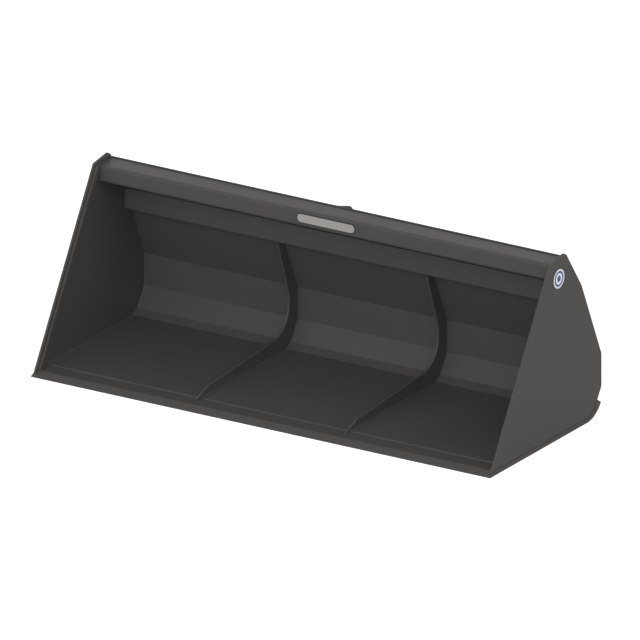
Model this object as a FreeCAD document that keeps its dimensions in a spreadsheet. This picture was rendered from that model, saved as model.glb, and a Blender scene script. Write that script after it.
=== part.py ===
import FreeCAD, Part
import math
import os

import Sketcher
from FreeCAD import Vector

# A high-volume loader bucket of welded plate. X runs across the bucket, Y from the cutting
# edge to the rear and Z up, all in millimetres. A run, a reach and a setback go along Y, a
# climb and a drop along Z.
SIZES = {
    # Cutting edge: a bevelled flat bar across the whole width
    "blade_width": 2400,
    "blade_depth": 200,
    "blade_thickness": 20,
    "bevel_depth": 42,
    "nose_height": 3,
    # Shell: floor, heel and back folded from one sheet, panel by panel
    "shell_thickness": 6,
    "fold_radius": 8,
    "floor_front": 125,
    "back_depth": 940,
    "heel_low_run": 42,
    "heel_low_climb": 24,
    "heel_high_run": 59,
    "heel_high_climb": 92,
    "back_height": 155,
    "slope_run": 166,
    "slope_climb": 376,
    "crown_run": 119,
    "crown_climb": 174,
    # Side plates, which stand above the rim, and the flat bars inside their front edges
    "side_thickness": 10,
    "side_inset": 3,
    "side_toe_depth": 14,
    "side_clip_run": 4,
    "side_clip_climb": 9,
    "side_peak_run": 27,
    "side_peak_climb": 23,
    "side_top_run": 114,
    "side_top_drop": 16,
    "edge_bar_setback": 20,
    "edge_bar_width": 26,
    "edge_bar_thickness": 10,
    "edge_bar_drop": 12,
    # Box beam under the rim, behind the edge bars
    "beam_thickness": 6,
    "beam_gap": 1.3,
    "beam_rear_drop": 6,
    "beam_front_drop": 12,
    "beam_face_height": 75,
    "beam_tail_drop": 64,
    # Folded stiffener below the beam, above the knee of the back
    "stiffener_thickness": 6,
    "stiffener_climb": 256,
    "stiffener_height": 105,
    # Ribs that follow the inside of the shell
    "rib_spacing": 780,
    "rib_thickness": 11,
    "rib_toe_run": 43,
    "rib_toe_height": 8,
    "rib_nose_run": 97,
    "rib_nose_height": 34,
    "rib_heel_height": 78,
    "rib_back_width": 72,
    "rib_heel_radius": 140,
    "rib_knee_radius": 60,
    # Wear runners under the floor, cut to the curve of the heel
    "side_runner_width": 40,
    "inner_runner_width": 30,
    "runner_arc_setback": 27,
    "runner_arc_radius": 146,
    "runner_sweep": 55,
    "runner_end_climb": 19,
    # Blank name plate and round badge
    "name_plate_length": 307,
    "name_plate_height": 47,
    "name_plate_thickness": 1.5,
    "badge_radius": 47.5,
    "badge_thickness": 1,
    "badge_setback": 46,
    "badge_drop": 105,
    # Coupling plates behind the shell, with a lock bore below and a hook above
    "hook_spacing": 1030,
    "hook_thickness": 20,
    "lock_bore_radius": 17.5,
    "lock_bore_reach": 35,
    "lock_bore_climb": 69,
    "lock_bore_wall": 27.5,
    "lock_bush_wall": 15,
    "lock_bush_length": 12,
    "hook_foot_height": 130,
    "hook_seat_radius": 25,
    "hook_seat_reach": 60,
    "hook_seat_climb": 383,
    "hook_lip_width": 27,
    "hook_lip_drop": 38,
    "hook_lip_flare": 10,
    "hook_neck_height": 120,
    # Bracing between and beside the coupling plates
    "channel_thickness": 8,
    "channel_setback": 78,
    "channel_drop": 28,
    "channel_height": 90,
    "tie_thickness": 12,
    "tie_height": 90,
    "gusset_thickness": 10,
    "gusset_reach": 75,
    "gusset_width": 120,
    "gusset_clip": 15,
    "upper_gusset_drop": 68,
    "lower_gusset_climb": 55,
    # Lifting lug behind the rim
    "lug_thickness": 15,
    "lug_crest_reach": 92,
    "lug_crest_drop": 30,
    "lug_rear_reach": 45,
    "lug_rear_drop": 46,
    "lug_rear_height": 80,
    "lug_foot_drop": 22,
    "lug_hole_radius": 15,
    "lug_hole_reach": 10,
    "lug_hole_drop": 73,
}

doc = FreeCAD.newDocument("LoaderBucket")
sheet = doc.addObject("Spreadsheet::Sheet", "Sizes")
for row, (alias, number) in enumerate(SIZES.items(), start=1):
    sheet.set(f"A{row}", alias)
    sheet.set(f"B{row}", str(number))
    sheet.setAlias(f"B{row}", alias)
layout = doc.addObject("App::VarSet", "Layout")
doc.recompute()


class Measure:
    """A length that carries its value and the expression that ties it to the sheet."""

    def __init__(self, value, text):
        self.value = float(value)
        self.text = text

    def __add__(self, other):
        other = measure(other)
        return Measure(self.value + other.value, f"({self.text} + {other.text})")

    def __sub__(self, other):
        other = measure(other)
        return Measure(self.value - other.value, f"({self.text} - {other.text})")

    def __mul__(self, other):
        other = measure(other)
        return Measure(self.value * other.value, f"{self.text} * {other.text}")

    def __truediv__(self, other):
        other = measure(other)
        return Measure(self.value / other.value, f"({self.text}) / ({other.text})")

    def __neg__(self):
        return measure(0) - self

    __radd__ = __add__


def measure(number):
    """A plain number as a measure."""
    if isinstance(number, Measure):
        return number
    return Measure(number, repr(float(number)))


def root(square):
    """The square root of a measure."""
    return Measure(math.sqrt(square.value), f"sqrt({square.text})")


def sine(degrees):
    """The sine of an angle given in degrees."""
    return Measure(math.sin(math.radians(degrees.value)), f"sin({degrees.text} * 1 deg)")


def cosine(degrees):
    """The cosine of an angle given in degrees."""
    return Measure(math.cos(math.radians(degrees.value)), f"cos({degrees.text} * 1 deg)")


def size(alias):
    """A driving dimension from the sheet."""
    return Measure(sheet.get(alias), f"Sizes.{alias}")


def keep(name, length):
    """Store a worked-out length in the layout under its own name."""
    layout.addProperty("App::PropertyFloat", name)
    layout.setExpression(name, length.text)
    return Measure(length.value, f"Layout.{name}")


def keep_corner(name, corner):
    """Store a worked-out corner, its depth and its height."""
    return keep(f"{name}_depth", corner[0]), keep(f"{name}_height", corner[1])


def direction(name, start, end):
    """The unit direction from one corner to the next."""
    run = end[0] - start[0]
    climb = end[1] - start[1]
    length = root(run * run + climb * climb)
    return keep(f"{name}_run", run / length), keep(f"{name}_climb", climb / length)


def offset_line(name, corners, distance):
    """The corners of a bent line that runs beside another, on its upper or front side."""
    runs = []
    for index in range(len(corners) - 1):
        runs.append(direction(f"{name}_panel_{index}", corners[index], corners[index + 1]))
    beside = []
    for index, corner in enumerate(corners):
        before = runs[max(index - 1, 0)]
        after = runs[min(index, len(runs) - 1)]
        alignment = before[0] * after[0] + before[1] * after[1]
        share = keep(f"{name}_share_{index}", distance / (alignment + 1))
        depth = corner[0] - share * (before[1] + after[1])
        height = corner[1] + share * (before[0] + after[0])
        beside.append(keep_corner(f"{name}_corner_{index}", (depth, height)))
    return beside


def at_height(start, end, height):
    """The depth at which the line through two corners reaches a height."""
    return start[0] + (height - start[1]) * (end[0] - start[0]) / (end[1] - start[1])


def at_depth(start, end, depth):
    """The height at which the line through two corners reaches a depth."""
    return start[1] + (depth - start[0]) * (end[1] - start[1]) / (end[0] - start[0])


# The bent line of the shell's outside, from the front of the floor to the rim
back = size("back_depth")
heel_mid_depth = back - size("heel_high_run")
shoulder_depth = back - size("slope_run")
heel_mid_height = size("blade_thickness") + size("heel_low_climb")
heel_top_height = heel_mid_height + size("heel_high_climb")
knee_height = heel_top_height + size("back_height")
shoulder_height = knee_height + size("slope_climb")
outer = [
    (size("floor_front"), size("blade_thickness")),
    keep_corner("heel_low", (heel_mid_depth - size("heel_low_run"), size("blade_thickness"))),
    keep_corner("heel_mid", (heel_mid_depth, heel_mid_height)),
    keep_corner("heel_top", (back, heel_top_height)),
    keep_corner("knee", (back, knee_height)),
    keep_corner("shoulder", (shoulder_depth, shoulder_height)),
    keep_corner("rim", (shoulder_depth - size("crown_run"), shoulder_height + size("crown_climb"))),
]
FLOOR_FRONT, HEEL_LOW, HEEL_MID, HEEL_TOP, KNEE, SHOULDER, RIM = range(len(outer))
inner = offset_line("inside", outer, size("shell_thickness"))
rim_depth, rim_height = outer[RIM]
inner_slope = (inner[KNEE], inner[SHOULDER])
outer_slope = (outer[KNEE], outer[SHOULDER])
inner_crown = (inner[SHOULDER], inner[RIM])

half_blade = size("blade_width") / 2
side_outer_face = keep("side_outer_face", half_blade - size("side_inset"))
side_inner_face = keep("side_inner_face", side_outer_face - size("side_thickness"))
outside_radius = keep("outside_radius", size("fold_radius") + size("shell_thickness"))

lock_bore = keep_corner("lock_bore", (
    back + size("lock_bore_reach"),
    outer[HEEL_TOP][1] + size("lock_bore_climb"),
))
hook_seat = keep_corner("hook_seat", (
    back + size("hook_seat_reach"),
    lock_bore[1] + size("hook_seat_climb"),
))
hook_round = keep("hook_round", size("hook_seat_radius") + size("hook_lip_width"))
hook_crest = keep_corner("hook_crest", (hook_seat[0] + hook_round, hook_seat[1] + hook_round))
channel_top = keep("channel_top", hook_seat[1] - size("channel_drop"))
half_depth = keep("half_depth", hook_crest[0] / 2)


def new_body(label, across, height=0):
    """A body whose own zero lies at a place across the bucket and at the blade's tip."""
    body = doc.addObject("PartDesign::Body", label)
    body.Label = label
    body.setExpression("Placement.Base.x", measure(across).text)
    body.setExpression("Placement.Base.y", (-half_depth).text)
    body.setExpression("Placement.Base.z", measure(height).text)
    return body


def new_sketch(body, plane, name):
    """An empty sketch on one of a body's own origin planes."""
    sketch = body.newObject("Sketcher::SketchObject", f"{body.Label}_{name}")
    origin_plane = [item for item in body.Origin.OriginFeatures if item.Role == plane][0]
    sketch.AttachmentSupport = (origin_plane, [""])
    sketch.MapMode = "FlatFace"
    return sketch


def tie(sketch, geometry, point, across, up):
    """Tie a point of a sketch to the sheet by its two distances from the zero point."""
    for kind, axis, length in (("DistanceX", -2, across), ("DistanceY", -1, up)):
        if length.text == "0.0":
            sketch.addConstraint(Sketcher.Constraint("PointOnObject", geometry, point, axis))
            continue
        constraint = Sketcher.Constraint(kind, -1, 1, geometry, point, length.value)
        index = sketch.addConstraint(constraint)
        sketch.setExpression(f"Constraints[{index}]", length.text)


def outline(body, plane, name, corners, arc_centres=None):
    """A closed outline through corners, straight but for arcs about the given centres."""
    sketch = new_sketch(body, plane, name)
    arc_centres = arc_centres or {}
    corners = [(measure(across), measure(up)) for across, up in corners]
    points = [Vector(across.value, up.value, 0) for across, up in corners]
    count = len(corners)
    for index in range(count):
        start = points[index]
        end = points[(index + 1) % count]
        if index in arc_centres:
            centre = Vector(*[length.value for length in arc_centres[index]], 0)
            first = math.atan2(start.y - centre.y, start.x - centre.x)
            last = math.atan2(end.y - centre.y, end.x - centre.x)
            circle = Part.Circle(centre, Vector(0, 0, 1), (start - centre).Length)
            sketch.addGeometry(Part.ArcOfCircle(circle, first, last), False)
        else:
            sketch.addGeometry(Part.LineSegment(start, end), False)
    for index in range(count):
        following = (index + 1) % count
        sketch.addConstraint(Sketcher.Constraint("Coincident", index, 2, following, 1))
    for index, (across, up) in enumerate(corners):
        tie(sketch, index, 1, across, up)
    for index, centre in arc_centres.items():
        place = Sketcher.Constraint("DistanceX", -1, 1, index, 3, centre[0].value)
        number = sketch.addConstraint(place)
        sketch.setExpression(f"Constraints[{number}]", centre[0].text)
    return sketch


def circles(body, plane, name, centre, radii):
    """A sketch of circles about one centre."""
    sketch = new_sketch(body, plane, name)
    across, up = centre
    for index, radius in enumerate(radii):
        middle = Vector(across.value, up.value, 0)
        sketch.addGeometry(Part.Circle(middle, Vector(0, 0, 1), radius.value), False)
        tie(sketch, index, 3, across, up)
        number = sketch.addConstraint(Sketcher.Constraint("Radius", index, radius.value))
        sketch.setExpression(f"Constraints[{number}]", radius.text)
    return sketch


def pad(body, sketch, length, name="thickness"):
    """Give a sketch its thickness."""
    feature = body.newObject("PartDesign::Pad", f"{body.Label}_{name}")
    feature.Profile = sketch
    feature.setExpression("Length", measure(length).text)
    body.Tip = feature
    doc.recompute()
    return feature


def cut_through(body, sketch, name):
    """Cut a sketch through the whole body, and make sure that it took material away."""
    before = body.Tip.Shape.Volume
    feature = body.newObject("PartDesign::Pocket", f"{body.Label}_{name}")
    feature.Profile = sketch
    feature.Type = "ThroughAll"
    feature.SideType = "Symmetric"
    body.Tip = feature
    doc.recompute()
    if not feature.Shape.Volume < before:
        raise RuntimeError(f"{body.Label}: {name} cuts nothing")
    return feature


def round_corners(body, corners, radius, name):
    """Round the edges that run straight back from given corners of the body's sketch."""
    base = body.Tip
    edges = []
    for number, edge in enumerate(base.Shape.Edges, start=1):
        ends = [vertex.Point for vertex in edge.Vertexes]
        for depth, height in corners:
            apart = [math.hypot(end.y - depth.value, end.z - height.value) for end in ends]
            if len(apart) == 2 and max(apart) < 0.01:
                edges.append(f"Edge{number}")
    if len(edges) != len(corners):
        raise RuntimeError(f"{body.Label}: {name} finds {len(edges)} edges")
    feature = body.newObject("PartDesign::Fillet", f"{body.Label}_{name}")
    feature.Base = (base, edges)
    feature.setExpression("Radius", measure(radius).text)
    body.Tip = feature
    doc.recompute()
    return feature


def sides():
    """The two sides of the bucket, with the sign of their place across it."""
    return (("left", -1), ("right", 1))


def across_place(sign, near, thickness):
    """Where a plate begins across the bucket, from its face nearer the middle."""
    if sign > 0:
        return near
    return -(near + thickness)


def build_cutting_edge():
    """A flat bar with a bevel on its upper front edge."""
    body = new_body("cutting_edge", -half_blade)
    top = size("blade_thickness")
    corners = [
        (0, 0),
        (size("blade_depth"), 0),
        (size("blade_depth"), top),
        (size("bevel_depth"), top),
        (0, size("nose_height")),
    ]
    pad(body, outline(body, "YZ_Plane", "section", corners), size("blade_width"))


def build_shell():
    """Floor, heel and back: one sheet with five folds, between the side plates."""
    body = new_body("shell", -side_inner_face)
    section = outline(body, "YZ_Plane", "section", outer + inner[::-1])
    pad(body, section, side_inner_face * 2)
    hollows = [inner[index] for index in range(HEEL_LOW, RIM)]
    crests = [outer[index] for index in range(HEEL_LOW, RIM)]
    round_corners(body, hollows, size("fold_radius"), "inside_folds")
    round_corners(body, crests, outside_radius, "outside_folds")


def bevel_height(depth):
    """The height of the cutting edge's bevel at a depth."""
    start = (measure(0), size("nose_height"))
    end = (size("bevel_depth"), size("blade_thickness"))
    return at_depth(start, end, depth)


side_toe = (size("side_toe_depth"), keep("side_toe_height", bevel_height(size("side_toe_depth"))))
side_peak = keep_corner("side_peak", (
    rim_depth - size("side_peak_run"),
    rim_height + size("side_peak_climb"),
))
side_top = keep_corner("side_top", (
    side_peak[0] - size("side_top_run"),
    side_peak[1] - size("side_top_drop"),
))


def build_side_plates():
    """Side plates that stand on the cutting edge and close the shell's ends."""
    for side, sign in sides():
        near = across_place(sign, side_inner_face, size("side_thickness"))
        body = new_body(f"{side}_side_plate", near)
        corners = [side_toe, (size("bevel_depth"), size("blade_thickness"))]
        corners += outer[HEEL_LOW:]
        corners += [
            (rim_depth - size("side_clip_run"), rim_height + size("side_clip_climb")),
            side_peak,
            side_top,
        ]
        pad(body, outline(body, "YZ_Plane", "outline", corners), size("side_thickness"))
        round_corners(body, outer[HEEL_LOW:RIM], outside_radius, "folds")


def edge_bar_front(height):
    """The depth of an edge bar's front edge at a height."""
    return at_height(side_toe, side_top, height) + size("edge_bar_setback")


def build_edge_bars():
    """Flat bars on the inner faces of the side plates, behind their front edges."""
    bottom = size("blade_thickness")
    top = side_top[1] - size("edge_bar_drop")
    low = keep("edge_bar_low", edge_bar_front(bottom))
    high = keep("edge_bar_high", edge_bar_front(top))
    for side, sign in sides():
        near = side_inner_face - size("edge_bar_thickness")
        body = new_body(f"{side}_edge_bar", across_place(sign, near, size("edge_bar_thickness")))
        corners = [
            (low, bottom),
            (low + size("edge_bar_width"), bottom),
            (high + size("edge_bar_width"), top),
            (high, top),
        ]
        pad(body, outline(body, "YZ_Plane", "outline", corners), size("edge_bar_thickness"))


beam_top = rim_height - size("beam_front_drop")
beam_depth = edge_bar_front(beam_top) + size("edge_bar_width") + size("beam_gap")
beam_crest = keep_corner("beam_crest", (beam_depth, beam_top))
beam_foot = (beam_crest[0], keep("beam_foot_height", beam_crest[1] - size("beam_face_height")))


def build_top_beam():
    """A folded sheet that closes a box against the shell under the rim."""
    body = new_body("top_beam", -side_inner_face)
    gauge = size("beam_thickness")
    rear = rim_height - size("beam_rear_drop")
    tail = beam_foot[1] - size("beam_tail_drop")
    face = [
        keep_corner("beam_rear", (at_height(*inner_crown, rear), rear)),
        beam_crest,
        beam_foot,
        keep_corner("beam_tail", (at_height(*inner_crown, tail), tail)),
    ]
    hollow = offset_line("beam", face, gauge)
    meeting = [
        keep_corner("beam_rear_under", crossing(inner_crown, (hollow[0], hollow[1]))),
        keep_corner("beam_tail_over", crossing(inner_crown, (hollow[2], hollow[3]))),
    ]
    corners = face + [meeting[1], hollow[2], hollow[1], meeting[0]]
    pad(body, outline(body, "YZ_Plane", "section", corners), side_inner_face * 2)
    round_corners(body, hollow[1:3], size("fold_radius"), "inside_folds")
    round_corners(body, face[1:3], size("fold_radius") + gauge, "outside_folds")


def crossing(first, second):
    """The corner where two lines, each through two corners, meet."""
    (start, end), (low, high) = first, second
    run = end[0] - start[0]
    climb = end[1] - start[1]
    other_run = high[0] - low[0]
    other_climb = high[1] - low[1]
    turn = run * other_climb - climb * other_run
    gap = (low[0] - start[0]) * other_climb - (low[1] - start[1]) * other_run
    share = gap / turn
    return start[0] + run * share, start[1] + climb * share


stiffener_foot = keep("stiffener_foot", outer[KNEE][1] + size("stiffener_climb"))
stiffener_top = keep("stiffener_top", stiffener_foot + size("stiffener_height"))
stiffener_inside = keep("stiffener_inside", at_height(*inner_slope, stiffener_top))
stiffener_front = keep("stiffener_front", stiffener_inside - size("stiffener_thickness"))


def build_back_stiffener():
    """An angle folded from sheet, with its upright in front and its foot on the shell."""
    body = new_body("back_stiffener", -side_inner_face)
    gauge = size("stiffener_thickness")
    slope = inner_slope
    outer_fold = (stiffener_front, stiffener_foot)
    inner_fold = (stiffener_inside, stiffener_foot + gauge)
    corners = [
        outer_fold,
        (at_height(*slope, stiffener_foot), stiffener_foot),
        (at_height(*slope, stiffener_foot + gauge), stiffener_foot + gauge),
        inner_fold,
        (stiffener_inside, stiffener_top),
        (stiffener_front, stiffener_top),
    ]
    pad(body, outline(body, "YZ_Plane", "section", corners), side_inner_face * 2)
    round_corners(body, [inner_fold], size("fold_radius"), "inside_fold")
    round_corners(body, [outer_fold], size("fold_radius") + gauge, "outside_fold")


def build_inner_ribs():
    """Plate ribs that stand on the inside of the shell, from the blade to the stiffener."""
    floor_top = inner[FLOOR_FRONT][1]
    toe = keep("rib_toe", size("floor_front") - size("rib_toe_run"))
    nose = (toe + size("rib_nose_run"), floor_top + size("rib_nose_height"))
    front_line = inner[HEEL_TOP][0] - size("rib_back_width")
    heel = keep_corner("rib_heel", (front_line, floor_top + size("rib_heel_height")))
    knee = offset_line("rib", inner[HEEL_TOP:SHOULDER + 1], size("rib_back_width"))[1]
    for side, sign in sides():
        near = (size("rib_spacing") - size("rib_thickness")) / 2
        body = new_body(f"{side}_inner_rib", across_place(sign, near, size("rib_thickness")))
        corners = [(toe, size("blade_thickness")), outer[FLOOR_FRONT]]
        corners += inner[FLOOR_FRONT:SHOULDER]
        corners += [
            (at_height(*inner_slope, stiffener_foot), stiffener_foot),
            (stiffener_front, stiffener_foot),
            knee,
            heel,
            nose,
            (toe, size("blade_thickness") + size("rib_toe_height")),
        ]
        pad(body, outline(body, "YZ_Plane", "outline", corners), size("rib_thickness"))
        round_corners(body, inner[HEEL_LOW:SHOULDER], size("fold_radius"), "folds")
        round_corners(body, [heel], size("rib_heel_radius"), "heel_round")
        round_corners(body, [knee], size("rib_knee_radius"), "knee_round")


def build_runners():
    """Wear runners under the floor, level in front and curved up behind the heel."""
    radius = size("runner_arc_radius")
    arc_start = keep("runner_arc_start", outer[HEEL_LOW][0] - size("runner_arc_setback"))
    centre = (arc_start, radius)
    tip_depth = arc_start + radius * sine(size("runner_sweep"))
    tip_height = radius - radius * cosine(size("runner_sweep"))
    tip = keep_corner("runner_tip", (tip_depth, tip_height))
    end_height = tip[1] + size("runner_end_climb")
    end_depth = at_height(outer[HEEL_MID], outer[HEEL_TOP], end_height)
    corners = [
        (size("blade_depth"), 0),
        (arc_start, 0),
        tip,
        keep_corner("runner_end", (end_depth, end_height)),
        outer[HEEL_MID],
        outer[HEEL_LOW],
        (size("blade_depth"), size("blade_thickness")),
    ]
    folds = [outer[HEEL_LOW], outer[HEEL_MID]]
    places = {
        "side_runner": (half_blade - size("side_runner_width"), size("side_runner_width")),
        "inner_runner": (
            (size("rib_spacing") - size("inner_runner_width")) / 2,
            size("inner_runner_width"),
        ),
    }
    for name, (near, width) in places.items():
        for side, sign in sides():
            body = new_body(f"{side}_{name}", across_place(sign, near, width))
            sketch = outline(body, "YZ_Plane", "outline", corners, {1: centre})
            pad(body, sketch, width)
            round_corners(body, folds, outside_radius, "folds")


def build_name_plate():
    """A blank plate with full-round ends on the front of the beam."""
    length = size("name_plate_length")
    height = size("name_plate_height")
    end_radius = height / 2
    middle = beam_foot[1] + size("beam_face_height") / 2
    body = new_body("name_plate", -(length / 2), middle - end_radius)
    body.setExpression("Placement.Base.y", (beam_foot[0] - half_depth).text)
    corners = [
        (end_radius, 0),
        (length - end_radius, 0),
        (length - end_radius, height),
        (end_radius, height),
    ]
    centres = {1: (length - end_radius, end_radius), 3: (end_radius, end_radius)}
    sketch = outline(body, "XZ_Plane", "outline", corners, centres)
    pad(body, sketch, size("name_plate_thickness"))


def build_side_badge():
    """A blank round badge on the outer face of the right side plate."""
    body = new_body("side_badge", side_outer_face)
    centre = (side_peak[0] - size("badge_setback"), side_peak[1] - size("badge_drop"))
    sketch = circles(body, "YZ_Plane", "outline", centre, [size("badge_radius")])
    pad(body, sketch, size("badge_thickness"))


def build_hook_plates():
    """Coupling plates, each with an open hook above and a bore for a lock pin below."""
    foot_round = size("lock_bore_radius") + size("lock_bore_wall")
    foot = keep_corner("hook_foot", (lock_bore[0] + foot_round, lock_bore[1] - foot_round))
    throat_front = keep("throat_front", hook_seat[0] - size("hook_seat_radius"))
    throat_rear = hook_seat[0] + size("hook_seat_radius")
    lip = keep("hook_lip", hook_seat[1] - size("hook_lip_drop"))
    corners = [
        (back, foot[1]),
        foot,
        (foot[0], foot[1] + size("hook_foot_height")),
        (throat_front, lip - size("hook_neck_height")),
        (throat_front, lip),
        (hook_crest[0], lip),
        hook_crest,
        (throat_front, hook_crest[1]),
        (at_height(*outer_slope, channel_top), channel_top),
        outer[KNEE],
    ]
    throat = [
        (throat_front, lip),
        (throat_rear + size("hook_lip_flare"), lip),
        (throat_rear, hook_seat[1]),
        (throat_front, hook_seat[1]),
    ]
    bush_radius = size("lock_bore_radius") + size("lock_bush_wall")
    for side, sign in sides():
        near = (size("hook_spacing") - size("hook_thickness")) / 2
        body = new_body(f"{side}_hook_plate", across_place(sign, near, size("hook_thickness")))
        pad(body, outline(body, "YZ_Plane", "outline", corners), size("hook_thickness"))
        round_corners(body, [foot], foot_round, "foot_round")
        round_corners(body, [hook_crest], hook_round, "crest_round")
        round_corners(body, [outer[KNEE]], outside_radius, "fold")
        cut_through(body, outline(body, "YZ_Plane", "throat", throat), "throat_cut")
        seat_circle = circles(body, "YZ_Plane", "seat", hook_seat, [size("hook_seat_radius")])
        cut_through(body, seat_circle, "seat_cut")
        bore_circle = circles(body, "YZ_Plane", "bore", lock_bore, [size("lock_bore_radius")])
        cut_through(body, bore_circle, "bore_cut")
        outside = near + size("hook_thickness")
        bush_place = across_place(sign, outside, size("lock_bush_length"))
        bush = new_body(f"{side}_lock_bush", bush_place)
        radii = [bush_radius, size("lock_bore_radius")]
        pad(bush, circles(bush, "YZ_Plane", "ring", lock_bore, radii), size("lock_bush_length"))


def build_hitch_channel():
    """A channel folded from plate, across the back between the coupling plates."""
    half_span = (size("hook_spacing") - size("hook_thickness")) / 2
    body = new_body("hitch_channel", -half_span)
    gauge = size("channel_thickness")
    slope = outer_slope
    high = channel_top
    low = keep("channel_foot", high - size("channel_height"))
    rear = keep("channel_rear", hook_seat[0] - size("hook_seat_radius") - size("channel_setback"))
    crests = [(rear, low), (rear, high)]
    hollows = [(rear - gauge, high - gauge), (rear - gauge, low + gauge)]
    corners = [(at_height(*slope, low), low)] + crests
    corners += [
        (at_height(*slope, high), high),
        (at_height(*slope, high - gauge), high - gauge),
    ]
    corners += hollows + [(at_height(*slope, low + gauge), low + gauge)]
    pad(body, outline(body, "YZ_Plane", "section", corners), half_span * 2)
    round_corners(body, hollows, size("fold_radius"), "inside_folds")
    round_corners(body, crests, size("fold_radius") + gauge, "outside_folds")


def build_hitch_tie():
    """A flat bar on the back, between the feet of the coupling plates."""
    half_span = (size("hook_spacing") - size("hook_thickness")) / 2
    body = new_body("hitch_tie", -half_span)
    low = lock_bore[1] - size("lock_bore_radius") - size("lock_bore_wall")
    corners = [
        (back, low),
        (back + size("tie_thickness"), low),
        (back + size("tie_thickness"), low + size("tie_height")),
        (back, low + size("tie_height")),
    ]
    pad(body, outline(body, "YZ_Plane", "section", corners), half_span * 2)


def build_gussets():
    """Level plates that brace the coupling plates against the back, outside them."""
    outside = (size("hook_spacing") + size("hook_thickness")) / 2
    width = size("gusset_width")
    reach = size("gusset_reach")
    clip = size("gusset_clip")
    upper = hook_seat[1] - size("upper_gusset_drop")
    places = {
        "upper": (upper, at_height(*outer_slope, upper)),
        "lower": (lock_bore[1] + size("lower_gusset_climb"), back),
    }
    for level, (height, against) in places.items():
        for side, sign in sides():
            body = new_body(f"{side}_{level}_gusset", across_place(sign, outside, width), height)
            across = [0, width, width, clip, 0]
            if sign < 0:
                across = [width - measure(place) for place in across]
            along = [against, against, against + clip, against + reach, against + reach]
            sketch = outline(body, "XY_Plane", "outline", list(zip(across, along)))
            pad(body, sketch, size("gusset_thickness"))


def build_lifting_lug():
    """A plate behind the rim with a hole for a lifting shackle."""
    body = new_body("lifting_lug", -(size("lug_thickness") / 2))
    foot = outer[SHOULDER][1] - size("lug_foot_drop")
    crest = keep_corner("lug_crest", (
        rim_depth + size("lug_crest_reach"),
        rim_height - size("lug_crest_drop"),
    ))
    rear = keep_corner("lug_rear", (
        crest[0] + size("lug_rear_reach"),
        crest[1] - size("lug_rear_drop"),
    ))
    corners = [
        outer[RIM],
        outer[SHOULDER],
        (at_height(*outer_slope, foot), foot),
        (rear[0], rear[1] - size("lug_rear_height")),
        rear,
        crest,
    ]
    pad(body, outline(body, "YZ_Plane", "outline", corners), size("lug_thickness"))
    round_corners(body, [outer[SHOULDER]], outside_radius, "fold")
    hole = (crest[0] + size("lug_hole_reach"), crest[1] - size("lug_hole_drop"))
    ring = circles(body, "YZ_Plane", "hole", hole, [size("lug_hole_radius")])
    cut_through(body, ring, "hole_cut")


build_cutting_edge()
build_shell()
build_side_plates()
build_edge_bars()
build_top_beam()
build_back_stiffener()
build_inner_ribs()
build_runners()
build_name_plate()
build_side_badge()
build_hook_plates()
build_hitch_channel()
build_hitch_tie()
build_gussets()
build_lifting_lug()
doc.recompute()

bodies = [item for item in doc.Objects if item.isDerivedFrom("PartDesign::Body")]
for item in doc.Objects:
    if "Invalid" in item.State or "Error" in item.State:
        raise RuntimeError(f"{item.Label} could not be worked out")
for body in bodies:
    if body.Shape.isNull() or not body.Shape.isValid() or len(body.Shape.Solids) != 1:
        raise RuntimeError(f"{body.Label} is not one sound solid")

os.makedirs("parts", exist_ok=True)
for body in bodies:
    body.Shape.exportStep(f"parts/{body.Label}.step")
    box = body.Shape.BoundBox
    print(f"{body.Label}: {box.XLength:.0f} x {box.YLength:.0f} x {box.ZLength:.0f} mm")
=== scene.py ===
"""A high-volume loader bucket of welded plate, dressed for a picture in plain studio light.

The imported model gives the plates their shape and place. This add-on paints them, adds the
weld beads, finishes the blank name plate and the round badge, and sets up the studio.
"""

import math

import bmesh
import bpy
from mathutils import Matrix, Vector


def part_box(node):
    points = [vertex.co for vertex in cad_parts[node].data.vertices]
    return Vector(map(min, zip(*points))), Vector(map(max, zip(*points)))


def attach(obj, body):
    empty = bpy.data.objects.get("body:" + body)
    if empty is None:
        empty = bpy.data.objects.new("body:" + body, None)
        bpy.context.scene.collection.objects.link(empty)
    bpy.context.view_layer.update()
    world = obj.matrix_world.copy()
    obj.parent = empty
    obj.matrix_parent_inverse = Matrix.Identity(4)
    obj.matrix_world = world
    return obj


bl_info = {
    "name": "Loader Bucket Finish",
    "version": (1, 0, 0),
    "blender": (4, 5, 0),
    "location": "3D View > Sidebar > Bucket",
    "description": "Paint, weld beads, name plate, badge and studio for a loader bucket",
    "category": "Object",
}

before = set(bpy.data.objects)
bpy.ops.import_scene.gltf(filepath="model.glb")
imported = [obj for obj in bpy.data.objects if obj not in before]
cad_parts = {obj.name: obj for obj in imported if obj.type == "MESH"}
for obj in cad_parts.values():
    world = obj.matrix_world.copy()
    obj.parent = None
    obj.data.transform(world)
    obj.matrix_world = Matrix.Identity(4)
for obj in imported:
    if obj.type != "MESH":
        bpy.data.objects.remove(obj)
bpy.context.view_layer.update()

MM = 0.001

# The sockets for colours on a Mix node, whose names it uses for other kinds of value too.
MIX_FIRST, MIX_SECOND, MIX_RESULT = 6, 7, 2

# How far apart two places may be and still count as one: the corners of a mesh, a flat end and
# the plane it lies in, and the outlines of two plates that touch, one of them round.
SAME_CORNER = 0.01 * MM
SAME_PLANE = 0.05 * MM
TOUCHING = 0.35 * MM

# A bead is a strip of facets across its corner. It starts at a share of its full size and grows
# by a step with each ring. Its section is round with a hollowness of 1 and flat with 2.
BEAD_FACETS = 4
BEAD_START = 0.45
BEAD_GROWTH = 0.25
BEAD_HOLLOWNESS = 1.5

# The lamps' places: azimuth round the bucket from its front, and elevation, in degrees.
LAMP_PLACES = {
    "low": (12, 12),
    "key": (30, 36),
    "side": (100, 35),
    "back": (210, 12),
}
FLOOR_SIZE = 60
STAND_OFF = 6


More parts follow.
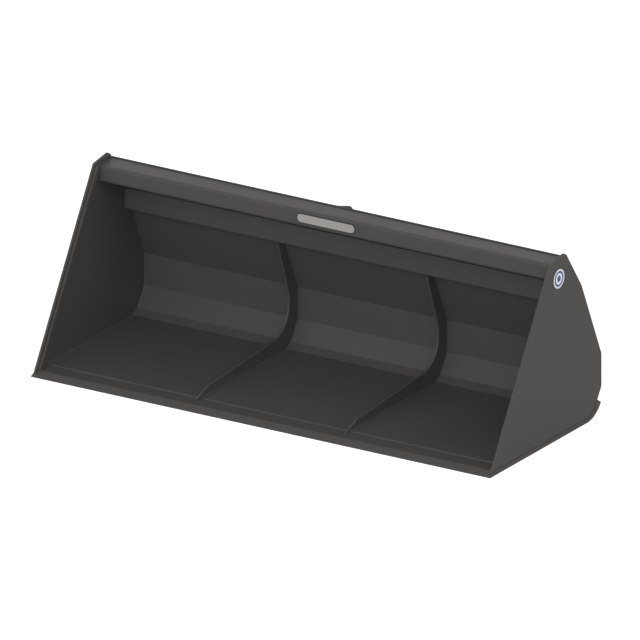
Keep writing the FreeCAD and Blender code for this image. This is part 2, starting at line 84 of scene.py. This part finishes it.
def linear(hex_colour):
    """The linear colour of an sRGB hex value."""
    channels = []
    for start in (0, 2, 4):
        value = int(hex_colour[start:start + 2], 16) / 255
        if value <= 0.04045:
            channels.append(value / 12.92)
        else:
            channels.append(((value + 0.055) / 1.055) ** 2.4)
    return channels


def colour_property(name, description, hex_colour):
    """A colour that a user can change, given as sRGB hex."""
    return bpy.props.FloatVectorProperty(
        name=name,
        description=description,
        subtype="COLOR",
        size=3,
        min=0,
        max=1,
        default=linear(hex_colour),
    )


def length_property(name, description, metres):
    """A length that a user can change."""
    return bpy.props.FloatProperty(
        name=name,
        description=description,
        unit="LENGTH",
        precision=5,
        min=0,
        default=metres,
    )


def strength_property(name, description, strength):
    """The strength of a light that a user can change."""
    return bpy.props.FloatProperty(name=name, description=description, min=0, default=strength)


class PaintSettings(bpy.types.PropertyGroup):
    """Sizes and colours of the enamel on the plates"""

    enamel: colour_property("Enamel", "Anthracite enamel on every plate", "4A4846")
    enamel_thin: colour_property("Thin coat", "The same enamel where the coat is thinner", "4E4B49")
    cloud_size: length_property("Cloud size", "Distance between thick and thin coats", 0.42)
    peel_size: length_property("Orange peel", "Distance between the waves of the spray", 3.5 * MM)
    peel_height: length_property("Peel height", "Height of the waves of the spray", 0.03 * MM)
    edge_radius: length_property("Edge radius", "Rounding of the plates' ground edges", 1.0 * MM)


class WeldSettings(bpy.types.PropertyGroup):
    """Sizes of the weld beads"""

    leg: length_property("Leg", "Width of a bead on each of the plates it joins", 3.2 * MM)
    pitch: length_property("Ripple pitch", "Distance between the ripples of a bead", 3.2 * MM)
    ripple: bpy.props.FloatProperty(
        name="Ripple",
        description="Rise of a ripple, as a share of the leg",
        subtype="FACTOR",
        min=0,
        max=0.5,
        default=0.09,
    )


class TrimSettings(bpy.types.PropertyGroup):
    """Sizes and colours of the name plate and the badge"""

    border: colour_property("Border", "Printed border of the name plate", "1C1B1B")
    aluminium: colour_property("Aluminium", "Brushed field of the name plate", "B9B6B2")
    border_width: length_property("Border width", "Width of the printed border", 4.2 * MM)
    field_rise: length_property("Field rise", "Height of the field above its border", 0.4 * MM)
    vinyl: colour_property("Vinyl", "Ground of the round badge", "E9EBEF")
    ring: colour_property("Ring", "Ring and centre of the round badge", "23358C")
    rim: colour_property("Rim", "Thin line round the badge", "3A3F4C")


class StudioSettings(bpy.types.PropertyGroup):
    """Camera and lights"""

    azimuth: bpy.props.FloatProperty(
        name="Azimuth",
        description="How far the camera stands round to the right of the front",
        subtype="ANGLE",
        default=math.radians(31.92),
    )
    elevation: bpy.props.FloatProperty(
        name="Elevation",
        description="Height of the camera above the horizon",
        subtype="ANGLE",
        default=math.radians(20.81),
    )
    picture_width: length_property("Picture width", "Width of what the camera sees", 2.839)
    aim: bpy.props.FloatVectorProperty(
        name="Aim",
        description="Point at the middle of the picture",
        subtype="TRANSLATION",
        size=3,
        default=(0.1346, -0.2424, 0.4462),
    )
    dome: strength_property("Dome", "Light from all round", 0.33)
    low: strength_property("Low", "Soft light into the mouth", 0.94)
    key: strength_property("Key", "Soft light from the front", 0.98)
    side: strength_property("Side", "Soft light from the right", 0.55)
    back: strength_property("Back", "Soft light from behind", 0.8)
    softness: bpy.props.FloatProperty(
        name="Softness",
        description="How wide each lamp looks from the bucket",
        subtype="ANGLE",
        default=math.radians(50),
    )
    floor_lift: strength_property(
        "Floor lift", "Brightness that the camera sees on the floor besides its own", 0.62
    )


def add(tree, kind, settings=(), values=(), links=()):
    """Add a node with its settings, the values of its inputs and the sockets that feed them."""
    node = tree.nodes.new(kind)
    for name, value in dict(settings).items():
        setattr(node, name, value)
    for name, value in dict(values).items():
        node.inputs[name].default_value = value
    for name, socket in dict(links).items():
        tree.links.new(socket, node.inputs[name])
    return node


def new_material(name):
    """An empty node material with its shader already joined to the output."""
    material = bpy.data.materials.new(name)
    material.use_nodes = True
    tree = material.node_tree
    tree.nodes.clear()
    shader = add(tree, "ShaderNodeBsdfPrincipled")
    add(tree, "ShaderNodeOutputMaterial", links={"Surface": shader.outputs["BSDF"]})
    return material, tree, shader


def anthracite_enamel(settings):
    """Anthracite enamel, sprayed on plate and baked.

    The spray leaves a coat a little thicker here and thinner there, which shows as soft clouds
    in tone and gloss, and a fine orange peel that breaks up reflections. The peel is drawn at
    its real size, so it shows only from close by.
    """
    material, tree, shader = new_material("anthracite_enamel")
    place = add(tree, "ShaderNodeTexCoord").outputs["Object"]
    cloud = add(
        tree,
        "ShaderNodeTexNoise",
        values={"Scale": 1 / settings.cloud_size, "Detail": 3, "Roughness": 0.45},
        links={"Vector": place},
    )
    coat = add(
        tree,
        "ShaderNodeMix",
        settings={"data_type": "RGBA"},
        links={"Factor": cloud.outputs["Fac"]},
    )
    coat.inputs[MIX_FIRST].default_value = (*settings.enamel, 1)
    coat.inputs[MIX_SECOND].default_value = (*settings.enamel_thin, 1)
    gloss = add(
        tree,
        "ShaderNodeMapRange",
        values={"From Min": 0.3, "From Max": 0.7, "To Min": 0.42, "To Max": 0.52},
        links={"Value": cloud.outputs["Fac"]},
    )
    peel = add(
        tree,
        "ShaderNodeTexNoise",
        values={"Scale": 1 / settings.peel_size, "Detail": 1.5, "Roughness": 0.4},
        links={"Vector": place},
    )
    edge = add(
        tree,
        "ShaderNodeBevel",
        settings={"samples": 4},
        values={"Radius": settings.edge_radius},
    )
    bump = add(
        tree,
        "ShaderNodeBump",
        values={"Strength": 1, "Distance": settings.peel_height},
        links={"Height": peel.outputs["Fac"], "Normal": edge.outputs["Normal"]},
    )
    tree.links.new(coat.outputs[MIX_RESULT], shader.inputs["Base Color"])
    tree.links.new(gloss.outputs["Result"], shader.inputs["Roughness"])
    tree.links.new(bump.outputs["Normal"], shader.inputs["Normal"])
    shader.inputs["IOR"].default_value = 1.5
    shader.inputs["Specular IOR Level"].default_value = 0.22
    return material


def printed_border(settings):
    """Black screen print on an aluminium plate: satin, with the faint grain of its squeegee."""
    material, tree, shader = new_material("printed_border")
    place = add(tree, "ShaderNodeTexCoord").outputs["Object"]
    grain = add(
        tree,
        "ShaderNodeTexNoise",
        values={"Scale": 1 / (0.6 * MM), "Detail": 2},
        links={"Vector": place},
    )
    bump = add(
        tree,
        "ShaderNodeBump",
        values={"Strength": 1, "Distance": 0.01 * MM},
        links={"Height": grain.outputs["Fac"]},
    )
    tree.links.new(bump.outputs["Normal"], shader.inputs["Normal"])
    shader.inputs["Base Color"].default_value = (*settings.border, 1)
    shader.inputs["Roughness"].default_value = 0.45
    return material


def brushed_aluminium(settings):
    """Anodised aluminium, brushed along its length: fine streaks that catch the light.

    A streak is about 45 mm long. Real ones are 0.1 mm apart, too fine to show, and are drawn
    0.5 mm apart.
    """
    material, tree, shader = new_material("brushed_aluminium")
    place = add(tree, "ShaderNodeTexCoord").outputs["Object"]
    stretched = add(
        tree,
        "ShaderNodeMapping",
        settings={"vector_type": "POINT"},
        values={"Scale": (1 / (45 * MM), 1 / (0.5 * MM), 1 / (0.5 * MM))},
        links={"Vector": place},
    )
    streaks = add(
        tree,
        "ShaderNodeTexNoise",
        values={"Scale": 1, "Detail": 3, "Roughness": 0.6},
        links={"Vector": stretched.outputs["Vector"]},
    )
    tone = add(
        tree,
        "ShaderNodeMix",
        settings={"data_type": "RGBA"},
        links={"Factor": streaks.outputs["Fac"]},
    )
    dark, bright = 0.8, 1.15
    tone.inputs[MIX_FIRST].default_value = (*[value * dark for value in settings.aluminium], 1)
    tone.inputs[MIX_SECOND].default_value = (
        *[min(1, value * bright) for value in settings.aluminium], 1
    )
    bump = add(
        tree,
        "ShaderNodeBump",
        values={"Strength": 1, "Distance": 0.02 * MM},
        links={"Height": streaks.outputs["Fac"]},
    )
    tree.links.new(tone.outputs[MIX_RESULT], shader.inputs["Base Color"])
    tree.links.new(bump.outputs["Normal"], shader.inputs["Normal"])
    shader.inputs["Metallic"].default_value = 1
    shader.inputs["Roughness"].default_value = 0.38
    return material


def badge_vinyl(settings, centre, radius):
    """Printed vinyl under a clear gloss film: a pale ground, a blue ring and a blue centre."""
    material, tree, shader = new_material("badge_vinyl")
    place = add(tree, "ShaderNodeTexCoord").outputs["Object"]
    away = add(
        tree,
        "ShaderNodeVectorMath",
        settings={"operation": "SUBTRACT"},
        links={0: place},
    )
    away.inputs[1].default_value = centre
    flat = add(
        tree,
        "ShaderNodeVectorMath",
        settings={"operation": "MULTIPLY"},
        links={0: away.outputs["Vector"]},
    )
    flat.inputs[1].default_value = (0, 1, 1)
    distance = add(
        tree,
        "ShaderNodeVectorMath",
        settings={"operation": "LENGTH"},
        links={0: flat.outputs["Vector"]},
    )
    share = add(
        tree,
        "ShaderNodeMath",
        settings={"operation": "DIVIDE"},
        links={0: distance.outputs["Value"]},
    )
    share.inputs[1].default_value = radius
    rings = add(
        tree,
        "ShaderNodeValToRGB",
        links={"Fac": share.outputs["Value"]},
    )
    # Where each colour starts, as a share of the badge's radius.
    bands = [
        (0.0, settings.ring),
        (0.3, settings.vinyl),
        (0.56, settings.ring),
        (0.76, settings.vinyl),
        (0.93, settings.rim),
    ]
    ramp = rings.color_ramp
    ramp.interpolation = "CONSTANT"
    while len(ramp.elements) < len(bands):
        ramp.elements.new(1)
    for element, (start, colour) in zip(ramp.elements, bands):
        element.position = start
        element.color = (*colour, 1)
    tree.links.new(rings.outputs["Color"], shader.inputs["Base Color"])
    shader.inputs["Roughness"].default_value = 0.25
    shader.inputs["Coat Weight"].default_value = 0.4
    return material


def give(thing, material):
    """Give every slot of an object one material."""
    slots = thing.data.materials
    if len(slots) == 0:
        slots.append(material)
    for index in range(len(slots)):
        slots[index] = material


def new_piece(name, mesh, material):
    """Put a finished mesh into the scene as a piece that rides on the bucket."""
    data = bpy.data.meshes.new(name)
    mesh.to_mesh(data)
    mesh.free()
    piece = bpy.data.objects.new(name, data)
    bpy.context.scene.collection.objects.link(piece)
    give(piece, material)
    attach(piece, "root")
    return piece


def closed_runs(edges):
    """The closed runs of vertices, in order, that a list of mesh edges forms."""
    left = set(edges)
    found = []
    for edge in edges:
        if edge not in left:
            continue
        run = [edge.verts[0]]
        while True:
            steps = [step for step in run[-1].link_edges if step in left]
            if not steps:
                break
            left.discard(steps[0])
            run.append(steps[0].other_vert(run[-1]))
        found.append(run)
    return found


def outlines(node, across=None):
    """The closed outlines, as points (y, z), of a piece's flat end at a place across the bucket.

    Without a place it is the end at the low X.
    """
    if across is None:
        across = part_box(node)[0].x
    body = bmesh.new()
    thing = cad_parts[node]
    body.from_mesh(thing.data)
    body.transform(thing.matrix_world)
    bmesh.ops.remove_doubles(body, verts=body.verts, dist=SAME_CORNER)
    end = {
        face for face in body.faces
        if all(abs(vertex.co.x - across) < SAME_PLANE for vertex in face.verts)
    }
    rim = [edge for edge in body.edges if len(end.intersection(edge.link_faces)) == 1]
    loops = [[Vector((v.co.y, v.co.z)) for v in run] for run in closed_runs(rim)]
    body.free()
    return loops


def run_length(run):
    """The length of a run of points."""
    return sum((after - before).length for before, after in zip(run, run[1:]))


def signed_area(loop):
    """Twice the area inside a closed loop, positive where it runs anticlockwise."""
    return sum(a.x * b.y - a.y * b.x for a, b in zip(loop, loop[1:]))


def main_outline(node, across=None):
    """The outer outline of a piece's end, running anticlockwise, with its last point its first."""
    loop = max(outlines(node, across), key=run_length)
    if signed_area(loop) < 0:
        loop.reverse()
    return loop


def distance_to_run(point, run):
    """The distance from a point to a run of points."""
    best = math.inf
    for start, end in zip(run, run[1:]):
        along = end - start
        share = (point - start).dot(along) / max(along.length_squared, 1e-12)
        nearest = start + along * min(1, max(0, share))
        best = min(best, (point - nearest).length)
    return best


def kept_stretch(loop, wanted):
    """The longest stretch of a closed loop whose edges all pass a test."""
    edges = list(zip(loop, loop[1:]))
    passing = [wanted(start, end) for start, end in edges]
    count = len(edges)
    if not any(passing):
        raise RuntimeError("no edge of the outline passes")
    first = next((i for i in range(count) if passing[i] and not passing[i - 1]), 0)
    best, run = [], []
    for step in range(count):
        index = (first + step) % count
        if passing[index]:
            run = run or [edges[index][0]]
            run.append(edges[index][1])
            if run_length(run) > run_length(best):
                best = run
        else:
            run = []
    return best


def seam(node, *others):
    """The stretch of a piece's outline that stands on other pieces' outlines."""
    carriers = [main_outline(other) for other in others]

    def stands(start, end):
        middle = (start + end) / 2
        return all(
            min(distance_to_run(point, carrier) for carrier in carriers) < TOUCHING
            for point in (start, middle, end)
        )

    return kept_stretch(main_outline(node), stands)


def spread(run, pitch):
    """Points at an even pitch along a run, each with the direction to the left of the run."""
    total = run_length(run)
    count = max(2, round(total / pitch))
    points = []
    edges = list(zip(run, run[1:]))
    index = 0
    passed = 0.0
    for step in range(count + 1):
        goal = total * step / count
        while index < len(edges) - 1 and passed + run_length(edges[index]) < goal:
            passed += run_length(edges[index])
            index += 1
        start, end = edges[index]
        along = (end - start).normalized()
        points.append((start + along * (goal - passed), Vector((-along.y, along.x))))
    return points


def lay_bead(mesh, frames, leg, ripple):
    """Lay one bead in a corner. A frame is a place and the two directions along the plates."""
    rings = []
    last = len(frames) - 1
    for number, (place, along_one, along_other) in enumerate(frames):
        from_end = min(number, last - number)
        size = leg * min(1, BEAD_START + BEAD_GROWTH * from_end)
        size *= 1 + ripple * (1 if number % 2 else -1)
        ring = []
        for step in range(BEAD_FACETS + 1):
            angle = math.pi / 2 * step / BEAD_FACETS
            one = along_one * math.cos(angle) ** BEAD_HOLLOWNESS
            other = along_other * math.sin(angle) ** BEAD_HOLLOWNESS
            ring.append(mesh.verts.new(place + (one + other) * size))
        rings.append(ring)
    for before, after in zip(rings, rings[1:]):
        for step in range(BEAD_FACETS):
            face = mesh.faces.new((before[step], before[step + 1], after[step + 1], after[step]))
            face.smooth = True
    for ring, place in ((rings[0], frames[0][0]), (rings[-1], frames[-1][0])):
        corner = mesh.verts.new(place)
        mesh.faces.new((*ring, corner))


def bead_along_profile(mesh, run, across, away, settings, side=1):
    """Lay a bead along a run in the YZ plane, at a place across the bucket."""
    frames = []
    for point, left in spread(run, settings.pitch / 2):
        place = Vector((across, point.x, point.y))
        frames.append((place, Vector((away, 0, 0)), Vector((0, left.x, left.y)) * side))
    lay_bead(mesh, frames, settings.leg, settings.ripple)


def bead_across(mesh, span, place, along_one, along_other, settings):
    """Lay a straight bead across the bucket at a place (y, z)."""
    count = max(2, round((span[1] - span[0]) / (settings.pitch / 2)))
    frames = []
    for step in range(count + 1):
        across = span[0] + (span[1] - span[0]) * step / count
        frames.append((
            Vector((across, *place)),
            Vector((0, *along_one)),
            Vector((0, *along_other)),
        ))
    lay_bead(mesh, frames, settings.leg, settings.ripple)


def finish_beads(name, mesh):
    """Turn laid beads into a painted piece."""
    bmesh.ops.recalc_face_normals(mesh, faces=mesh.faces)
    return new_piece(name, mesh, bpy.data.materials["anthracite_enamel"])


PLAIN_NODES = [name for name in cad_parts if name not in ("name_plate", "side_badge")]


class BUCKET_OT_paint(bpy.types.Operator):
    """Paint every plate of the bucket with anthracite enamel"""

    bl_idname = "bucket.paint"
    bl_label = "Paint Plates"

    def execute(self, context):
        material = anthracite_enamel(context.scene.bucket_paint)
        for name in PLAIN_NODES:
            give(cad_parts[name], material)
        return {"FINISHED"}


class BUCKET_OT_plate_welds(bpy.types.Operator):
    """Weld the plates that stand on the shell, on both of their faces"""

    bl_idname = "bucket.plate_welds"
    bl_label = "Weld Plates"

    CARRIERS = {
        "inner_rib": ("shell", "cutting_edge"),
        "hook_plate": ("shell",),
        "inner_runner": ("shell",),
    }

    def execute(self, context):
        settings = context.scene.bucket_welds
        for kind, carriers in self.CARRIERS.items():
            mesh = bmesh.new()
            for side in ("left", "right"):
                node = f"{side}_{kind}"
                run = seam(node, *carriers)
                low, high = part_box(node)
                bead_along_profile(mesh, run, low.x, -1, settings)
                bead_along_profile(mesh, run, high.x, 1, settings)
            finish_beads(f"{kind}_welds", mesh)
        mesh = bmesh.new()
        run = seam("lifting_lug", "shell")
        low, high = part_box("lifting_lug")
        bead_along_profile(mesh, run, low.x, -1, settings)
        bead_along_profile(mesh, run, high.x, 1, settings)
        finish_beads("lifting_lug_welds", mesh)
        return {"FINISHED"}


class BUCKET_OT_end_welds(bpy.types.Operator):
    """Weld the inside of the shell and the runners to the side plates"""

    bl_idname = "bucket.end_welds"
    bl_label = "Weld Ends"

    def execute(self, context):
        settings = context.scene.bucket_welds
        plate = main_outline("left_side_plate")
        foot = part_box("back_stiffener")[0].z

        def inside(start, end):
            """Whether an edge faces the hollow: the outside lies on the plate's own outline."""
            middle = (start + end) / 2
            below = max(start.y, end.y) < foot
            return below and distance_to_run(middle, plate) > 4 * MM

        shell = main_outline("shell")
        run = kept_stretch(shell, inside)
        low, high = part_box("shell")
        mesh = bmesh.new()
        bead_along_profile(mesh, run, low.x, 1, settings, side=-1)
        bead_along_profile(mesh, run, high.x, -1, settings, side=-1)
        finish_beads("side_plate_welds", mesh)

        mesh = bmesh.new()
        run = seam("left_side_runner", "shell")
        bead_along_profile(mesh, run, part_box("left_side_runner")[1].x, 1, settings)
        bead_along_profile(mesh, run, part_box("right_side_runner")[0].x, -1, settings)
        finish_beads("side_runner_welds", mesh)
        return {"FINISHED"}


class BUCKET_OT_cross_welds(bpy.types.Operator):
    """Weld the pieces that run across the bucket"""

    bl_idname = "bucket.cross_welds"
    bl_label = "Weld Cross Pieces"

    def execute(self, context):
        settings = context.scene.bucket_welds
        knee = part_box("shell")[1].y
        mesh = bmesh.new()
        floor_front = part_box("shell")[0].y
        blade_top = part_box("cutting_edge")[1].z
        for span in self.bays():
            bead_across(mesh, span, (floor_front, blade_top), (-1, 0), (0, 1), settings)
        finish_beads("floor_front_welds", mesh)

        mesh = bmesh.new()
        low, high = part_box("hitch_tie")
        span = (low.x + settings.leg, high.x - settings.leg)
        bead_across(mesh, span, (knee, high.z), (1, 0), (0, 1), settings)
        bead_across(mesh, span, (knee, low.z), (1, 0), (0, -1), settings)
        low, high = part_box("hitch_channel")
        rise = self.slope_direction()
        for height, turn in ((high.z, 1), (low.z, -1)):
            depth = self.slope_depth(height)
            bead_across(mesh, span, (depth, height), (1, 0), tuple(rise * turn), settings)
        finish_beads("hitch_cross_welds", mesh)

        mesh = bmesh.new()
        for level in ("upper", "lower"):
            for side in ("left", "right"):
                low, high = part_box(f"{side}_{level}_gusset")
                span = (low.x + settings.leg, high.x - settings.leg)
                for height, turn in ((high.z, 1), (low.z, -1)):
                    along = rise if level == "upper" else Vector((0, 1))
                    depth = self.slope_depth(height) if level == "upper" else knee
                    bead_across(mesh, span, (depth, height), (1, 0), tuple(along * turn), settings)
        finish_beads("gusset_welds", mesh)
        return {"FINISHED"}

    def bays(self):
        """The spans between the side plates and the ribs, short of their own beads."""
        leg = bpy.context.scene.bucket_welds.leg
        shell_low, shell_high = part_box("shell")
        edges = [shell_low.x]
        for rib in ("left_inner_rib", "right_inner_rib"):
            low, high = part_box(rib)
            edges += [low.x, high.x]
        edges.append(shell_high.x)
        return [(a + leg, b - leg) for a, b in zip(edges[::2], edges[1::2])]

    def slope(self):
        """The two ends of the shell's slope, from the outside of its knee to its shoulder."""
        run = seam("left_hook_plate", "shell")
        ordered = sorted(run, key=lambda point: point.y)
        return ordered[-2], ordered[-1]

    def slope_direction(self):
        """The direction up the shell's slope."""
        low, high = self.slope()
        return (high - low).normalized()

    def slope_depth(self, height):
        """The depth of the outside of the shell's slope at a height."""
        low, high = self.slope()
        return low.x + (height - low.y) * (high.x - low.x) / (high.y - low.y)


class BUCKET_OT_coupling_welds(bpy.types.Operator):
    """Weld the cross pieces, gussets and lock bushes to the coupling plates"""

    bl_idname = "bucket.coupling_welds"
    bl_label = "Weld Coupling"

    def execute(self, context):
        settings = context.scene.bucket_welds
        shell = main_outline("shell")

        def clear_of_shell(start, end):
            return distance_to_run((start + end) / 2, shell) > settings.leg

        mesh = bmesh.new()
        for side, sign in (("left", -1), ("right", 1)):
            faces = sorted((corner.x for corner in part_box(f"{side}_hook_plate")), key=abs)
            joined = {
                "hitch_channel": (faces[0], -sign),
                "hitch_tie": (faces[0], -sign),
                f"{side}_upper_gusset": (faces[1], sign),
                f"{side}_lower_gusset": (faces[1], sign),
                f"{side}_lock_bush": (faces[1], sign),
            }
            for node, (across, away) in joined.items():
                run = kept_stretch(main_outline(node, across), clear_of_shell)
                bead_along_profile(mesh, run, across, away, settings, side=-1)
        finish_beads("coupling_welds", mesh)
        return {"FINISHED"}


def rounded_bar(length, height, arc_steps):
    """Points, across and up, round a bar with full-round ends about its own middle."""
    radius = height / 2
    points = []
    for sign in (1, -1):
        for step in range(arc_steps + 1):
            angle = math.pi * (step / arc_steps - 0.5)
            across = sign * (length / 2 - radius + radius * math.cos(angle))
            points.append((across, sign * radius * math.sin(angle)))
    return points


class BUCKET_OT_name_plate(bpy.types.Operator):
    """Finish the name plate: a printed border and a blank brushed field"""

    bl_idname = "bucket.name_plate"
    bl_label = "Finish Name Plate"

    def execute(self, context):
        settings = context.scene.bucket_trim
        give(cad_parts["name_plate"], printed_border(settings))
        low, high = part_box("name_plate")
        length = high.x - low.x - 2 * settings.border_width
        height = high.z - low.z - 2 * settings.border_width
        middle = (low + high) / 2
        mesh = bmesh.new()
        rim = []
        for across, up in rounded_bar(length, height, 24):
            rim.append(mesh.verts.new((middle.x + across, low.y, middle.z + up)))
        face = mesh.faces.new(rim)
        raised = bmesh.ops.extrude_face_region(mesh, geom=[face])["geom"]
        top = [part for part in raised if isinstance(part, bmesh.types.BMVert)]
        bmesh.ops.translate(mesh, verts=top, vec=(0, -settings.field_rise, 0))
        crest = [edge for edge in mesh.edges if all(vertex in top for vertex in edge.verts)]
        bmesh.ops.bevel(
            mesh,
            geom=crest,
            offset=settings.field_rise * 0.7,
            segments=2,
            affect="EDGES",
        )
        bmesh.ops.recalc_face_normals(mesh, faces=mesh.faces)
        new_piece("name_plate_field", mesh, brushed_aluminium(settings))
        return {"FINISHED"}


class BUCKET_OT_side_badge(bpy.types.Operator):
    """Finish the round badge on the right side plate"""

    bl_idname = "bucket.side_badge"
    bl_label = "Finish Badge"

    def execute(self, context):
        low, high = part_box("side_badge")
        settings = context.scene.bucket_trim
        radius = (high.z - low.z) / 2
        give(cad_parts["side_badge"], badge_vinyl(settings, (low + high) / 2, radius))
        return {"FINISHED"}


class BUCKET_OT_studio(bpy.types.Operator):
    """Set up the floor, the soft light and the camera"""

    bl_idname = "bucket.studio"
    bl_label = "Set Up Studio"

    def execute(self, context):
        settings = context.scene.bucket_studio
        self.lay_floor(context, settings)
        self.light_dome(context, settings)
        for name, (azimuth, elevation) in LAMP_PLACES.items():
            lamp = self.hang_lamp(context, settings, name, azimuth, elevation)
            # The light from behind would glare off the top of the beam.
            lamp.visible_glossy = name != "back"
        self.place_camera(context, settings)
        context.scene.view_settings.view_transform = "Standard"
        return {"FINISHED"}

    def lay_floor(self, context, settings):
        """A pale floor that the camera sees as white, darker only in the bucket's shadow."""
        bpy.ops.mesh.primitive_plane_add(size=FLOOR_SIZE, location=(0, 0, -0.5 * MM))
        floor = context.object
        floor.name = "studio_floor"
        material, tree, shader = new_material("studio_floor")
        seen = add(tree, "ShaderNodeLightPath").outputs["Is Camera Ray"]
        lift = add(
            tree,
            "ShaderNodeMath",
            settings={"operation": "MULTIPLY"},
            links={0: seen},
        )
        lift.inputs[1].default_value = settings.floor_lift
        tree.links.new(lift.outputs["Value"], shader.inputs["Emission Strength"])
        shader.inputs["Emission Color"].default_value = (1, 1, 1, 1)
        shader.inputs["Base Color"].default_value = (*linear("F2F2F2"), 1)
        shader.inputs["Roughness"].default_value = 0.9
        shader.inputs["Specular IOR Level"].default_value = 0
        give(floor, material)

    def light_dome(self, context, settings):
        """White all round, at full strength only to the eye and in reflections."""
        world = bpy.data.worlds.new("studio_dome")
        context.scene.world = world
        world.use_nodes = True
        tree = world.node_tree
        tree.nodes.clear()
        ray = add(tree, "ShaderNodeLightPath")
        glossy = add(
            tree,
            "ShaderNodeMath",
            settings={"operation": "MAXIMUM"},
            links={0: ray.outputs["Is Camera Ray"], 1: ray.outputs["Is Glossy Ray"]},
        )
        seen = add(
            tree,
            "ShaderNodeMath",
            settings={"operation": "MAXIMUM"},
            links={0: glossy.outputs["Value"], 1: ray.outputs["Is Transmission Ray"]},
        )
        light = add(tree, "ShaderNodeBackground", values={"Strength": settings.dome})
        white = add(tree, "ShaderNodeBackground", values={"Strength": 1})
        both = add(
            tree,
            "ShaderNodeMixShader",
            links={0: seen.outputs["Value"], 1: light.outputs[0], 2: white.outputs[0]},
        )
        for background in (light, white):
            background.inputs["Color"].default_value = (1, 1, 1, 1)
        add(tree, "ShaderNodeOutputWorld", links={"Surface": both.outputs["Shader"]})

    def hang_lamp(self, context, settings, name, azimuth, elevation):
        """A broad soft light from far away, given by where it stands round the bucket."""
        data = bpy.data.lights.new(f"{name}_light", "SUN")
        data.energy = getattr(settings, name)
        data.angle = settings.softness
        lamp = bpy.data.objects.new(f"{name}_light", data)
        context.scene.collection.objects.link(lamp)
        toward = direction_from(math.radians(azimuth), math.radians(elevation))
        lamp.location = toward * STAND_OFF
        lamp.rotation_mode = "QUATERNION"
        lamp.rotation_quaternion = (-toward).to_track_quat("-Z", "Y")
        return lamp

    def place_camera(self, context, settings):
        """A camera without perspective, as far round and as high as in the photograph."""
        data = bpy.data.cameras.new("studio_camera")
        data.type = "ORTHO"
        data.ortho_scale = settings.picture_width
        data.clip_end = 100
        camera = bpy.data.objects.new("studio_camera", data)
        context.scene.collection.objects.link(camera)
        toward = direction_from(settings.azimuth, settings.elevation)
        camera.location = Vector(settings.aim) + toward * STAND_OFF
        camera.rotation_mode = "QUATERNION"
        camera.rotation_quaternion = (-toward).to_track_quat("-Z", "Y")
        context.scene.camera = camera


def direction_from(azimuth, elevation):
    """The direction from the bucket to a place round it, with azimuth 0 in front."""
    level = math.cos(elevation)
    return Vector((
        math.sin(azimuth) * level,
        -math.cos(azimuth) * level,
        math.sin(elevation),
    ))


class BUCKET_PT_finish(bpy.types.Panel):
    """Steps and settings of the bucket's finish"""

    bl_idname = "BUCKET_PT_finish"
    bl_label = "Loader Bucket"
    bl_space_type = "VIEW_3D"
    bl_region_type = "UI"
    bl_category = "Bucket"

    def draw(self, context):
        for operator in OPERATORS:
            self.layout.operator(operator.bl_idname)
        for group in SETTINGS:
            box = self.layout.box()
            settings = getattr(context.scene, group)
            for name in SETTINGS[group].__annotations__:
                box.prop(settings, name)


SETTINGS = {
    "bucket_paint": PaintSettings,
    "bucket_welds": WeldSettings,
    "bucket_trim": TrimSettings,
    "bucket_studio": StudioSettings,
}
OPERATORS = (
    BUCKET_OT_paint,
    BUCKET_OT_plate_welds,
    BUCKET_OT_end_welds,
    BUCKET_OT_cross_welds,
    BUCKET_OT_coupling_welds,
    BUCKET_OT_name_plate,
    BUCKET_OT_side_badge,
    BUCKET_OT_studio,
)


def register():
    """Make the settings, the steps and the panel known to Blender."""
    for group, settings in SETTINGS.items():
        bpy.utils.register_class(settings)
        setattr(bpy.types.Scene, group, bpy.props.PointerProperty(type=settings))
    for step in (*OPERATORS, BUCKET_PT_finish):
        bpy.utils.register_class(step)


def unregister():
    """Take back everything that register made known."""
    for step in (BUCKET_PT_finish, *OPERATORS[::-1]):
        bpy.utils.unregister_class(step)
    for group, settings in SETTINGS.items():
        delattr(bpy.types.Scene, group)
        bpy.utils.unregister_class(settings)


def main():
    """Finish the bucket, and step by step."""
    register()
    for operator in OPERATORS:
        group, step = operator.bl_idname.split(".")
        getattr(getattr(bpy.ops, group), step)()


if __name__ == "__main__":
    main()
